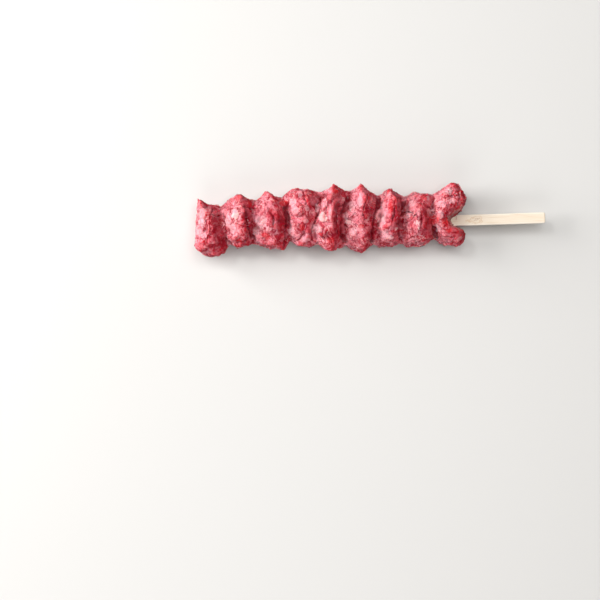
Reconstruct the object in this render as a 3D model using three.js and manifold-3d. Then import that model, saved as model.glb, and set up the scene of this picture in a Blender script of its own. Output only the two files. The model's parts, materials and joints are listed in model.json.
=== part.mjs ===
// A raw kofta skewer: minced meat squeezed by hand round a flat wooden stick, so that the fingers leave
// nine ridges with furrows between them. It lies on a flat surface, with the stick's bare end as its grip.
//
// Millimetres, +Z up. +X runs along the stick to its bare end, +Y is the far side and -Y the near side.
// The meat is modelled with x = 0 at its tip, y = 0 and z = 0 on the stick's axis. At the end the whole
// part is moved so that the origin is at the bottom centre of its box.

import * as THREE from 'three';
import { mergeVertices } from 'three/addons/utils/BufferGeometryUtils.js';
import { ImprovedNoise } from 'three/addons/math/ImprovedNoise.js';
import Module from 'manifold-3d';

// ---- driving dimensions -------------------------------------------------------------------------------

const STICK = {
	length: 250,
	width: 8,
	thickness: 3.5,
	endRadius: 1.3, // the corners of the sawn end, seen from above
	ease: 0.45, // the sanded long edges
	tipCover: 7, // meat over the stick's hidden end
};

const AXIS_HEIGHT = 14; // the stick's axis above the surface that the meat rests on
const SLOT_GAP = 0.3; // between the stick and the meat round it

// The ridges from the tip to the grip. Each list gives the far side, the crown and the near side.
// crest: where the crest line crosses it, along the stick. reach: how far the crest stands from the axis.
// furrow: where the furrow behind the ridge lies, as a share of the way to the next crest.
// dip: how far that furrow lies below the crests beside it.
// point: 1 where the crest is drawn up to a thin edge, 0 where it is a round lobe.
const RIDGES = [
	{
		crest: [ 6.6, 14, 16.6 ], reach: [ 18.8, 14.8, 19.6 ], point: [ 0.45, 0.85, 0 ],
		furrow: [ 0.5, 0.38, 0.6 ], dip: [ 6.6, 8, 4.6 ],
	},
	{
		crest: [ 32.8, 38.2, 33.7 ], reach: [ 25, 15.5, 15 ], point: [ 0.95, 0.1, 0.15 ],
		furrow: [ 0.5, 0.2, 0.31 ], dip: [ 5.8, 9.5, 5.8 ],
	},
	{
		crest: [ 54.7, 61, 64.4 ], reach: [ 25.8, 15.5, 17.2 ], point: [ 1, 0.3, 0.2 ],
		furrow: [ 0.39, 0.36, 0.35 ], dip: [ 5.1, 7.5, 5 ],
	},
	{
		crest: [ 81, 83.5, 81.2 ], reach: [ 28.2, 16, 15.9 ], point: [ 0.6, 0, 0 ],
		furrow: [ 0.52, 0.3, 0.5 ], dip: [ 6.8, 5, 6.2 ],
	},
	{
		crest: [ 103.6, 101.8, 100.1 ], reach: [ 29, 17, 19.8 ], point: [ 1, 0.4, 0.2 ],
		furrow: [ 0.6, 0.36, 0.48 ], dip: [ 6.8, 9, 5 ],
	},
	{
		crest: [ 123.3, 125.2, 119.9 ], reach: [ 28.1, 16.5, 20.1 ], point: [ 0.9, 0.4, 0.1 ],
		furrow: [ 0.67, 0.41, 0.6 ], dip: [ 6.3, 9, 4.2 ],
	},
	{
		crest: [ 143.1, 146.7, 139.6 ], reach: [ 25.3, 16.5, 18.5 ], point: [ 1, 0.35, 0.25 ],
		furrow: [ 0.54, 0.3, 0.55 ], dip: [ 4.8, 10, 4.4 ],
	},
	{
		crest: [ 163.5, 166.4, 159.3 ], reach: [ 22.5, 16, 18.3 ], point: [ 0.8, 0.1, 0 ],
		furrow: [ 0.39, 0.42, 0.59 ], dip: [ 6, 7.5, 5 ],
	},
	{ crest: [ 189.8, 185.5, 187.7 ], reach: [ 27.9, 14, 17.6 ], point: [ 0.65, 0, 0 ] },
];

const UNDER_REACH = AXIS_HEIGHT + 1.2; // a crest's underside before the surface presses it flat
const UNDER_DIP = 4.2;
const SECTION_POWER = 2.35; // 2 is an ellipse; more is boxier

const WANDER = { amount: 3.2, turns: 1.7, seed: 8.4 }; // of the crest and furrow lines, along the stick

// The meat's two ends: where the end face stands, how far it leans along the stick for each millimetre
// towards the far side, and how square it is.
const TIP = { x: 3, lean: 0.12, power: [ 3.6, 2, 3.6 ] };
const GRIP_END = { x: 198.5, lean: - 0.08, power: [ 2.6, 2.6, 2.6 ] };
const NOTCH = { depth: 11, width: 6.2, start: 172, end: 196 }; // where the stick leaves the meat

// Relief on the hand-shaped form: the size of its lumps and how far they stand in or out.
const RELIEF = [
	{ size: 16, height: 1.5, seed: 3.7 },
	{ size: 9, height: 1.6, seed: 11.3 },
	{ size: 5.6, height: 0.8, seed: 29.1 },
];
const CREASES = { size: 10, depth: 1.2, width: 0.16, seed: 51.9 }; // where two wads of mince meet

// Single wads, tags and hollows: place along the stick, degrees round it (0 far side, 90 crown), how far
// they stand out and their size.
const LUMPS = [
	{ x: 4.6, angle: 12, out: 3.4, size: 2.6 }, // torn corner of the tip
	{ x: 1, angle: 150, out: 4.4, size: 6 },
	{ x: 7, angle: 68, out: 1.5, size: 6 },
	{ x: 12, angle: 150, out: 1.2, size: 6 },
	{ x: 50, angle: 80, out: 1.6, size: 7 },
	{ x: 55, angle: 140, out: 1.5, size: 5 },
	{ x: 68.5, angle: 178, out: 1.6, size: 3 },
	{ x: 86, angle: 55, out: - 2, size: 6 },
	{ x: 78, angle: 120, out: 1.4, size: 6 },
	{ x: 95, angle: 68, out: 1.4, size: 4 },
	{ x: 92.5, angle: 108, out: 1.6, size: 4.5 },
	{ x: 107, angle: 50, out: - 1.4, size: 5 },
	{ x: 131, angle: 35, out: 2.2, size: 4.5 },
	{ x: 116, angle: 125, out: 1.5, size: 7 },
	{ x: 138, angle: 100, out: 1.4, size: 5 },
	{ x: 158, angle: 62, out: 1.2, size: 6 },
	{ x: 188, angle: 40, out: 3.2, size: 9 }, // far lobe beside the stick
	{ x: 187, angle: 138, out: 2.6, size: 7 }, // near lobe beside the stick
	{ x: 198, angle: 25, out: 1.4, size: 4 },
	{ x: 197, angle: 176, out: 1.6, size: 4 },
	{ x: 40, angle: 250, out: - 1.6, size: 8 },
	{ x: 92, angle: 285, out: - 1.5, size: 7 },
	{ x: 150, angle: 262, out: - 1.6, size: 8 },
];

const STEPS_PER_HALF_RIDGE = 5; // rings of the mesh between a crest and a furrow
const TIP_RINGS = 8;
const GRIP_RINGS = 9;
const SEGMENTS = 58; // points round each ring

// ---- the hand-shaped surface --------------------------------------------------------------------------

const { clamp, degToRad, euclideanModulo, lerp, smoothstep } = THREE.MathUtils;
const noise = new ImprovedNoise();
const last = RIDGES.length - 1;

const signedPower = ( value, power ) => Math.sign( value ) * Math.abs( value ) ** power;

// A quantity given on the far side, the crown and the near side, at an angle round the stick.
// The underside takes the mean of the far and the near side.
function aroundStick( [ far, crown, near ], angle ) {

	const side = Math.cos( angle ) ** 2;
	const up = Math.sin( angle ) > 0 ? crown : ( far + near ) / 2;
	return side * ( Math.cos( angle ) > 0 ? far : near ) + ( 1 - side ) * up;

}

// No finger presses quite straight across, so each crest and furrow line wanders over the crown and below.
function wander( line, angle ) {

	const { amount, turns, seed } = WANDER;
	return amount * Math.sin( angle ) ** 2
		* noise.noise( turns * Math.cos( angle ) + seed * line, turns * Math.sin( angle ), seed );

}

// Where a crest or the furrow behind it crosses the given angle, along the stick.
const crestX = ( ridge, angle ) => aroundStick( RIDGES[ ridge ].crest, angle ) + wander( ridge, angle );
const furrowX = ( ridge, angle ) => wander( ridge + 0.5, angle ) + lerp(
	aroundStick( RIDGES[ ridge ].crest, angle ),
	aroundStick( RIDGES[ ridge + 1 ].crest, angle ),
	aroundStick( RIDGES[ ridge ].furrow, angle ),
);

// Reaches from the axis: far side, crown, near side and underside.
const crestReach = ( ridge ) => [ ...RIDGES[ ridge ].reach, UNDER_REACH ];

function furrowReach( ridge ) {

	const after = crestReach( ridge + 1 );
	const dip = [ ...RIDGES[ ridge ].dip, UNDER_DIP ];
	return crestReach( ridge ).map( ( before, side ) => ( before + after[ side ] ) / 2 - dip[ side ] );

}

// How much of a crest's extra reach is there at a share of the way up from a furrow. The fingers leave round
// hollows and thin edges on the far side, and round lobes on the crown and the near side.
function climb( share, point, falling ) {

	const round = 1 - ( 1 - share ) ** 2.3;
	return lerp( round, share ** 1.8, falling ? point : 0.9 * point );

}

// A point of the cross-section with those four reaches, at an angle round it.
function sectionPoint( x, [ far, crown, near, under ], angle ) {

	const power = 2 / SECTION_POWER;
	return new THREE.Vector3(
		x,
		( far - near ) / 2 + ( far + near ) / 2 * signedPower( Math.cos( angle ), power ),
		( Math.sin( angle ) > 0 ? crown : under ) * signedPower( Math.sin( angle ), power ),
	);

}

// The ridged length: station 0 is the first crest, 0.5 the furrow behind it, 1 the next crest and so on.
function ridgedPoint( station, angle ) {

	const ridge = Math.min( Math.floor( station ), last - 1 );
	const along = ( station - ridge ) * 2; // 0 to 1 down to the furrow, 1 to 2 up to the next crest
	const falling = along <= 1;
	const crest = falling ? ridge : ridge + 1;
	const share = falling ? 1 - along : along - 1;
	const rise = climb( share, aroundStick( RIDGES[ crest ].point, angle ), falling );
	const low = furrowReach( ridge );
	const reach = crestReach( crest ).map( ( high, side ) => lerp( low[ side ], high, rise ) );
	return sectionPoint( lerp( furrowX( ridge, angle ), crestX( crest, angle ), share ), reach, angle );

}

// A blunt end: turn is 0 at the middle of the end face and 90 degrees on the crest that it starts from.
function endPoint( ridge, end, turn, angle ) {

	const power = 2 / aroundStick( end.power, angle );
	const out = Math.sin( turn ) ** power;
	const rim = sectionPoint( crestX( ridge, angle ), crestReach( ridge ), angle );
	return new THREE.Vector3(
		lerp( end.x + end.lean * rim.y * out, rim.x, 1 - Math.cos( turn ) ** power ),
		rim.y * out,
		rim.z * out,
	);

}

// How far the mince draws back along the stick where it comes out, between the two lobes.
function drawnBack( { x, y } ) {

	return NOTCH.depth * Math.exp( - (( y / NOTCH.width ) ** 4) ) * smoothstep( x, NOTCH.start, NOTCH.end );

}

function reliefAt( { x, y, z } ) {

	let height = 0;
	for ( const { size, height: step, seed } of RELIEF ) {

		height += step * noise.noise( x / size + seed, y / size, z / size ) * 1.6;

	}

	const { size, depth, width, seed } = CREASES;
	const fold = Math.abs( noise.noise( x / size, y / size + seed, z / size ) );
	return height - depth * Math.max( 0, 1 - fold / width );

}

// The wads and hollows fade out towards the middle of the end faces.
function lumpsAt( { x, y, z } ) {

	const radius = Math.hypot( y, z );
	let height = 0;
	for ( const lump of LUMPS ) {

		const angle = Math.atan2( z, y ) - degToRad( lump.angle );
		const turn = euclideanModulo( angle + Math.PI, 2 * Math.PI ) - Math.PI;
		const away = Math.hypot( x - lump.x, turn * radius );
		height += lump.out * Math.exp( - (( away / lump.size ) ** 2) );

	}

	return height * smoothstep( radius, 4, 13 );

}

// The way out of the meat at a point: straight from the part of the stick inside it.
function outward( point ) {

	const core = new THREE.Vector3( clamp( point.x, 12, 186 ), 0, 0 );
	return point.clone().sub( core ).normalize();

}

function meatPoint( ring, angle ) {

	const bodyRings = last * 2 * STEPS_PER_HALF_RIDGE;
	let point;
	if ( ring < TIP_RINGS ) {

		point = endPoint( 0, TIP, ring / TIP_RINGS * Math.PI / 2, angle );

	} else if ( ring <= TIP_RINGS + bodyRings ) {

		point = ridgedPoint( ( ring - TIP_RINGS ) / ( 2 * STEPS_PER_HALF_RIDGE ), angle );

	} else {

		const turn = ( TIP_RINGS + bodyRings + GRIP_RINGS - ring ) / GRIP_RINGS * Math.PI / 2;
		point = endPoint( last, GRIP_END, turn, angle );

	}

	point.x -= drawnBack( point );
	point.addScaledVector( outward( point ), reliefAt( point ) + lumpsAt( point ) );
	point.z = Math.max( point.z, - AXIS_HEIGHT ); // pressed flat by the surface it lies on
	return point;

}

// A sphere's grid of rings, drawn out into the meat's form.
function meatGeometry() {

	const rings = TIP_RINGS + last * 2 * STEPS_PER_HALF_RIDGE + GRIP_RINGS;
	const geometry = new THREE.SphereGeometry( 1, SEGMENTS, rings );
	const { position, uv } = geometry.attributes;
	for ( let i = 0; i < position.count; i ++ ) {

		const ring = Math.round( uv.getY( i ) * rings );
		const atPole = ring === 0 || ring === rings;
		const step = atPole ? 0 : Math.round( uv.getX( i ) * SEGMENTS ) % SEGMENTS;
		const point = meatPoint( ring, step / SEGMENTS * Math.PI * 2 );
		position.setXYZ( i, point.x, point.y, point.z );

	}

	return geometry;

}

// ---- the stick ----------------------------------------------------------------------------------------

function roundedRectangle( length, width, radius ) {

	const shape = new THREE.Shape();
	const x = length / 2;
	const y = width / 2;
	shape.moveTo( - x + radius, - y );
	shape.lineTo( x - radius, - y );
	shape.absarc( x - radius, - y + radius, radius, - Math.PI / 2, 0 );
	shape.lineTo( x, y - radius );
	shape.absarc( x - radius, y - radius, radius, 0, Math.PI / 2 );
	shape.lineTo( - x + radius, y );
	shape.absarc( - x + radius, y - radius, radius, Math.PI / 2, Math.PI );
	shape.lineTo( - x, - y + radius );
	shape.absarc( - x + radius, - y + radius, radius, Math.PI, Math.PI * 1.5 );
	return shape;

}

function stickGeometry() {

	const { length, width, thickness, endRadius, ease } = STICK;
	const outline = roundedRectangle( length - 2 * ease, width - 2 * ease, endRadius - ease );
	return new THREE.ExtrudeGeometry( outline, {
		depth: thickness - 2 * ease,
		bevelThickness: ease,
		bevelSize: ease,
		bevelSegments: 3,
		curveSegments: 6,
	} ).translate( STICK.tipCover + length / 2, 0, ease - thickness / 2 );

}

// ---- joining and cutting ------------------------------------------------------------------------------

const wasm = await Module();
wasm.setup();

function solidOf( geometry ) {

	const bare = geometry.clone();
	bare.deleteAttribute( 'normal' );
	bare.deleteAttribute( 'uv' );
	const merged = mergeVertices( bare );
	return new wasm.Manifold( new wasm.Mesh( {
		numProp: 3,
		vertProperties: merged.attributes.position.array,
		triVerts: merged.index.array,
	} ) );

}

function geometryOf( solid ) {

	const { vertProperties, triVerts } = solid.getMesh();
	const geometry = new THREE.BufferGeometry();
	geometry.setAttribute( 'position', new THREE.BufferAttribute( vertProperties, 3 ) );
	geometry.setIndex( new THREE.BufferAttribute( triVerts, 1 ) );
	geometry.computeVertexNormals();
	return geometry;

}

// The slot is the stick's own room, open at the notch and blind under the tip.
function slotGeometry() {

	const start = STICK.tipCover - SLOT_GAP;
	const end = STICK.tipCover + STICK.length;
	return new THREE.BoxGeometry(
		end - start,
		STICK.width + 2 * SLOT_GAP,
		STICK.thickness + 2 * SLOT_GAP,
	).translate( ( start + end ) / 2, 0, 0 );

}

// ---- the part -----------------------------------------------------------------------------------------

const mince = new THREE.MeshStandardMaterial( { color: '#c2606a', roughness: 0.35, metalness: 0 } );
const birch = new THREE.MeshStandardMaterial( { color: '#f0dcbf', roughness: 0.7, metalness: 0 } );

const hollowed = solidOf( meatGeometry() ).subtract( solidOf( slotGeometry() ) );
const meat = new THREE.Mesh( geometryOf( hollowed ), mince );
meat.name = 'meat';

const stick = new THREE.Mesh( stickGeometry(), birch );
stick.name = 'stick';

const part = new THREE.Group();
part.add( meat, stick );

const box = new THREE.Box3().setFromObject( part, true );
const middle = box.getCenter( new THREE.Vector3() );
for ( const piece of part.children ) piece.position.set( - middle.x, - middle.y, - box.min.z );

export default part;
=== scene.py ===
import json
import math
import random

import bpy
from mathutils import Euler, Matrix, Vector
from mathutils.kdtree import KDTree

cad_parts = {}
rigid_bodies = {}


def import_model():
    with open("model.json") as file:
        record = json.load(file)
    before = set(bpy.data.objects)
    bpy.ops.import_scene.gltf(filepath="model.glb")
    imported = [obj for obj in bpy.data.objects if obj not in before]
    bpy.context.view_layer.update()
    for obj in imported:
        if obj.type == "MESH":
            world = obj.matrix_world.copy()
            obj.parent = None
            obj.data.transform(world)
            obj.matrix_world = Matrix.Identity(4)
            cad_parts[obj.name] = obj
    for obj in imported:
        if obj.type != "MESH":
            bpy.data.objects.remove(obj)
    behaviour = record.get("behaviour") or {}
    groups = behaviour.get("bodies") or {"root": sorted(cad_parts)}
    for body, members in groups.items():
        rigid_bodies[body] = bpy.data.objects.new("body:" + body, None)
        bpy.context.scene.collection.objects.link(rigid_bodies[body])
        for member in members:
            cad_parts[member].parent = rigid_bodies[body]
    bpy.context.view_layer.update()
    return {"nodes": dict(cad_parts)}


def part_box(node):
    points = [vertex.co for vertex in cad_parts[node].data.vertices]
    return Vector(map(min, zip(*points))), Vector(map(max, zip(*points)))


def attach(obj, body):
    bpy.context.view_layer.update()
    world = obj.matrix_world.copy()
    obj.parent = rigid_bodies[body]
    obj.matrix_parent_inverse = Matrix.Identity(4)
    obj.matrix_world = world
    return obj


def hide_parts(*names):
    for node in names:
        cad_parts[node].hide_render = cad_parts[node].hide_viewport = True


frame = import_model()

# ---- The stick ----------------------------------------------------------------------------------------
# A flat kebab stick of birch, stamped out of a planed strip and tumbled, so that its long edges are eased
# and its sawn ends have small round corners. The mince is squeezed on round it and grips it.

MM = 0.001
NO_LENGTH = 1e-6
STICK_END_RADIUS = 1.3 * MM
STICK_EASE = 0.45 * MM
STICK_MESH = 0.42 * MM
STICK_GRAIN_DEPTH = 0.07 * MM
# Steps of the grain in a metre: along the stick, across it and through it.
GRAIN_STEPS = (60, 1700, 1400)
BROAD_GRAIN_STEPS = (18, 260, 260)
# How far from the middle line the painted highlight on the long edges begins, and where it is strongest.
EDGE_HIGHLIGHT_FROM = 2.6 * MM
EDGE_HIGHLIGHT_TO = 3.7 * MM
KNOT_FROM_END = 51.5 * MM
KNOT_HALF_LENGTH = 6.5 * MM
KNOT_HALF_WIDTH = 2.6 * MM
# The knot's ring and how far it strays, in the knot's own half size.
KNOT_RING = 0.85
KNOT_STRAY = 2.6
stick_low, stick_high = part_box("stick")
stick_middle = (stick_low + stick_high) / 2


def only(*objects):
    """Leaves just these objects selected, the first one active."""
    bpy.ops.object.select_all(action="DESELECT")
    for obj in objects:
        obj.select_set(True)
    bpy.context.view_layer.objects.active = objects[0]


def apply_modifiers(obj):
    """Applies all its modifiers in their order."""
    only(obj)
    for modifier in list(obj.modifiers):
        bpy.ops.object.modifier_apply(modifier=modifier.name)


def linear(code):
    """An sRGB colour such as "#c2606a" as linear red, green, blue and alpha."""
    parts = [int(code[i:i + 2], 16) / 255 for i in (1, 3, 5)]
    return (*(p / 12.92 if p <= 0.04045 else ((p + 0.055) / 1.055) ** 2.4 for p in parts), 1.0)


def add(tree, kind, settings, inputs):
    """Adds a node. An input is linked where its value is another node's socket, and set otherwise."""
    node = tree.nodes.new(kind)
    for name, value in settings.items():
        setattr(node, name, value)
    for name, value in inputs.items():
        if isinstance(value, bpy.types.NodeSocket):
            tree.links.new(value, node.inputs[name])
        else:
            node.inputs[name].default_value = value
    return node


def new_shape_tree(name):
    """A geometry node tree that takes a shape in and gives one out."""
    tree = bpy.data.node_groups.new(name, "GeometryNodeTree")
    tree.interface.new_socket("Geometry", in_out="INPUT", socket_type="NodeSocketGeometry")
    tree.interface.new_socket("Geometry", in_out="OUTPUT", socket_type="NodeSocketGeometry")
    return tree, add(tree, "NodeGroupInput", {}, {}).outputs[0]


def shape_with(obj, tree, result):
    """Ends the tree with its result and applies it to the piece."""
    add(tree, "NodeGroupOutput", {}, {"Geometry": result})
    obj.modifiers.new(tree.name, "NODES").node_group = tree
    apply_modifiers(obj)


bpy.ops.object.select_all(action="DESELECT")
bpy.ops.mesh.primitive_cube_add(size=1, location=stick_middle, scale=stick_high - stick_low)
stick = bpy.context.object
stick.name = "birch_stick"
bpy.ops.object.transform_apply(location=True, rotation=True, scale=True)
bpy.ops.object.mode_set(mode="EDIT")
bpy.ops.mesh.select_mode(type="EDGE")
# The four upright corners are rounded first, then the edges of the two flat faces.
for upright, radius, steps in ((True, STICK_END_RADIUS, 6), (False, STICK_EASE, 3)):
    bpy.ops.mesh.select_all(action="DESELECT")
    bpy.ops.object.mode_set(mode="OBJECT")
    for edge in stick.data.edges:
        a, b = (stick.data.vertices[i].co for i in edge.vertices)
        edge.select = (abs(b.z - a.z) > NO_LENGTH) == upright
    bpy.ops.object.mode_set(mode="EDIT")
    bpy.ops.mesh.bevel(offset=radius, segments=steps, profile=0.5)
bpy.ops.object.mode_set(mode="OBJECT")
remesh = stick.modifiers.new("fine_mesh", "REMESH")
remesh.mode = "VOXEL"
remesh.voxel_size = STICK_MESH
stick.modifiers.new("eased", "SMOOTH").iterations = 2
apply_modifiers(stick)

# The grain stands proud in long fine lines, a millimetre or less apart.
tree, shape = new_shape_tree("wood_grain_relief")
place = add(tree, "GeometryNodeInputPosition", {}, {}).outputs[0]
stretched = add(tree, "ShaderNodeVectorMath", {"operation": "MULTIPLY"}, {0: place, 1: GRAIN_STEPS})
lines = add(tree, "ShaderNodeTexNoise", {}, {"Vector": stretched.outputs[0], "Scale": 1.0, "Detail": 3.0})
depth = add(tree, "ShaderNodeMapRange", {}, {
    "Value": lines.outputs[0], "From Min": 0.3, "From Max": 0.7,
    "To Min": -STICK_GRAIN_DEPTH, "To Max": STICK_GRAIN_DEPTH * 0.4,
})
normal = add(tree, "GeometryNodeInputNormal", {}, {}).outputs[0]
offset = add(tree, "ShaderNodeVectorMath", {"operation": "SCALE"}, {0: normal, "Scale": depth.outputs[0]})
moved = add(tree, "GeometryNodeSetPosition", {}, {"Geometry": shape, "Offset": offset.outputs[0]})
shape_with(stick, tree, moved.outputs[0])
only(stick)
bpy.ops.object.shade_smooth()

# Planed birch, unvarnished: a pale, even wood with fine long grain, short darker flecks and a dull sheen.
# Its long edges are painted paler as a highlight, and near the mince a small pin knot has left a ring of
# brown lines.
birch = bpy.data.materials.new("planed_birch")
birch.use_nodes = True
tree = birch.node_tree
tree.nodes.clear()
place = add(tree, "ShaderNodeTexCoord", {}, {}).outputs["Object"]
stretched = add(tree, "ShaderNodeMapping", {}, {"Vector": place, "Scale": GRAIN_STEPS})
lines = add(tree, "ShaderNodeTexNoise", {}, {"Vector": stretched.outputs[0], "Scale": 1.0, "Detail": 4.0})
broad = add(tree, "ShaderNodeMapping", {}, {"Vector": place, "Scale": BROAD_GRAIN_STEPS})
bands = add(tree, "ShaderNodeTexNoise", {}, {"Vector": broad.outputs[0], "Scale": 1.0, "Detail": 2.0})
tint = add(tree, "ShaderNodeMix", {"data_type": "RGBA"}, {
    0: bands.outputs[0], 6: linear("#ecdfcf"), 7: linear("#e2d0b8"),
})
streak = add(tree, "ShaderNodeMapRange", {}, {
    "Value": lines.outputs[0], "From Min": 0.35, "From Max": 0.5, "To Min": 0.55, "To Max": 0.0,
})
wood = add(tree, "ShaderNodeMix", {"data_type": "RGBA"}, {
    0: streak.outputs[0], 6: tint.outputs[2], 7: linear("#d3b795"),
})
from_middle = add(tree, "ShaderNodeVectorMath", {"operation": "SUBTRACT"}, {
    0: place, 1: (stick_high.x - KNOT_FROM_END, stick_middle.y, stick_middle.z),
})
sides = add(tree, "ShaderNodeSeparateXYZ", {}, {0: from_middle.outputs[0]})
out_to_edge = add(tree, "ShaderNodeMath", {"operation": "ABSOLUTE"}, {0: sides.outputs[1]})
# Painted highlight: the wood is painted paler towards its long edges.
edge_highlight = add(tree, "ShaderNodeMapRange", {}, {
    "Value": out_to_edge.outputs[0], "From Min": EDGE_HIGHLIGHT_FROM, "From Max": EDGE_HIGHLIGHT_TO, "To Max": 0.6,
})
wood = add(tree, "ShaderNodeMix", {"data_type": "RGBA"}, {
    0: edge_highlight.outputs[0], 6: wood.outputs[2], 7: linear("#f6eee2"),
})
ripple = add(tree, "ShaderNodeTexNoise", {}, {"Vector": place, "Scale": 1 / (3 * MM), "Detail": 4.0})
stray = add(tree, "ShaderNodeVectorMath", {"operation": "SCALE"}, {
    0: ripple.outputs[1], "Scale": KNOT_STRAY,
})
knot_at = add(tree, "ShaderNodeVectorMath", {"operation": "MULTIPLY_ADD"}, {
    0: from_middle.outputs[0], 1: (1 / KNOT_HALF_LENGTH, 1 / KNOT_HALF_WIDTH, 0), 2: stray.outputs[0],
})
from_knot = add(tree, "ShaderNodeVectorMath", {"operation": "DISTANCE"}, {
    0: knot_at.outputs[0], 1: (KNOT_STRAY / 2, KNOT_STRAY / 2, KNOT_STRAY / 2),
}).outputs["Value"]
off_ring = add(tree, "ShaderNodeMath", {"operation": "SUBTRACT"}, {0: from_knot, 1: KNOT_RING})
ring_reach = add(tree, "ShaderNodeMath", {"operation": "ABSOLUTE"}, {0: off_ring.outputs[0]}).outputs[0]
for reach, width, most, tint in ((ring_reach, 0.22, 0.5, "#c79a68"), (from_knot, 0.4, 0.6, "#9a6a42")):
    stained = add(tree, "ShaderNodeMapRange", {}, {
        "Value": reach, "From Min": width, "From Max": 0.0, "To Max": most,
    })
    wood = add(tree, "ShaderNodeMix", {"data_type": "RGBA"}, {
        0: stained.outputs[0], 6: wood.outputs[2], 7: linear(tint),
    })
surface = add(tree, "ShaderNodeBsdfPrincipled", {}, {
    "Base Color": wood.outputs[2], "Roughness": 0.55, "Specular IOR Level": 0.4,
})
add(tree, "ShaderNodeOutputMaterial", {}, {"Surface": surface.outputs[0]})
stick.data.materials.clear()
stick.data.materials.append(birch)

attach(stick, "root")
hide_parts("stick")

# ---- The mince ----------------------------------------------------------------------------------------
# Lean and fat meat, minced through a fine plate, kneaded until it binds and squeezed onto the stick by
# hand. The fingers leave the ridges and smear the skin; grains, lumps of fat and short bands show in it.

SLOT_HALF_WIDTH = 4.4 * MM
SLOT_HALF_HEIGHT = 2.15 * MM
WAD = 5 * MM
WAD_RELIEF = 0.45 * MM
CREASE_DEPTH = 0.4 * MM
GRAIN_SPACING = 1.9 * MM
GRAINS_PER_SQUARE_METRE = 420000
# Half a grain's length, width and height.
LEAST_GRAIN = (1.0 * MM, 0.7 * MM, 0.4 * MM)
GREATEST_GRAIN = (2.8 * MM, 1.2 * MM, 0.6 * MM)
GRAIN_SUNK = 0.45 * MM
PASTE_TONE = 0.45  # between the grains, where 0 is lean and 1 is fat
KNEADED = 0.7 * MM  # how far kneading has warped the grains
STRAND_RELIEF = 0.22 * MM
STRAND_SWIRL = 9 * MM
STEPS_PER_RADIAN = 2.6  # of the patterns that follow the mince round the stick
SKIN_MESH = 0.5 * MM
MOST_TRIANGLES = 196000

# Where the camera stands, straight above. Pixels of its frame give places on the mince.
LEAN = math.radians(1.75)  # the stick rises this much to the right in the view
SCALE = 0.73 * MM  # one pixel, at the stick's height
STICK_END_PIXEL = Vector((545.0, 217.8))
CAMERA_HEIGHT = 1.0
FRAME = 600  # pixels, either way

FAT_TONE = 0.8
FAT_DENT = 2.6 * MM
FAT_DENT_SPACING = 2.2 * MM
FAT_SUNK = 0.25 * MM
# Lumps of fat: pixel, length and width in mm, how far they are turned and how clear of lean they are.
FAT_LUMPS = (
    (236, 216, 6.6, 4.8, 10, 1.0), (323, 217, 7.6, 6.8, 70, 0.75), (349, 223, 4.2, 3.4, 0, 0.7),
    (418, 225, 7.0, 2.4, 95, 0.8), (262, 222, 4.6, 4.0, 60, 0.5), (308, 193, 6.0, 4.0, 20, 0.4),
    (319, 230, 5.5, 4.6, 40, 0.4), (350, 237, 3.4, 3.0, 0, 0.5), (352, 233, 3.0, 2.4, 30, 0.55),
    (396, 229, 3.4, 2.6, 80, 0.6), (390, 238, 5.5, 2.6, 10, 0.5), (372, 200, 4.6, 4.0, 60, 0.4),
    (200, 215, 5.0, 4.0, 80, 0.45), (203, 222, 3.8, 3.0, 30, 0.4), (198, 232, 4.0, 3.2, 70, 0.4),
    (449, 194, 8.0, 3.6, 5, 0.5), (304, 220, 5.0, 3.4, 10, 0.35), (430, 213, 4.0, 2.6, 75, 0.4),
    (269, 230, 4.2, 2.2, 20, 0.4), (214, 243, 3.0, 2.2, 40, 0.3), (441, 226, 4.6, 3.6, 60, 0.3),
    (299, 238, 4.0, 2.4, 30, 0.3), (412, 197, 3.6, 2.0, 30, 0.4), (383, 218, 6.5, 3.0, 85, 0.6),
)
BAND_TAPER = 0.45
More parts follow.
